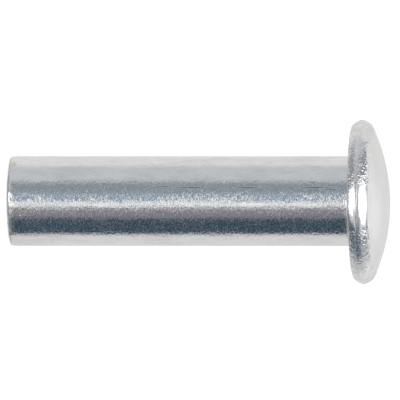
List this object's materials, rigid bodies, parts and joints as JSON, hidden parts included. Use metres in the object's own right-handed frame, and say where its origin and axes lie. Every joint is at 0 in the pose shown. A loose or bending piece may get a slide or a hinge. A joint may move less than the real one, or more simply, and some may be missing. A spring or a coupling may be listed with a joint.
{
  "type": "solid rivet",
  "caption": "Solid rivet: plain round shank with a cut end and a shallow domed head whose rim bulges past the struck crown.",
  "frame": {"origin": "centre of the shank's cut end face, on which the rivet stands", "axes": "+Z along the rivet's axis, from the cut end towards the head; X and Y are any two directions across it"},
  "size_m": [0.0116, 0.0116, 0.0268],
  "materials": {
    "drawn_aluminium": "satin"
  },
  "bodies": {
    "root": {"rivet": "drawn_aluminium"}
  },
  "joints": []
}
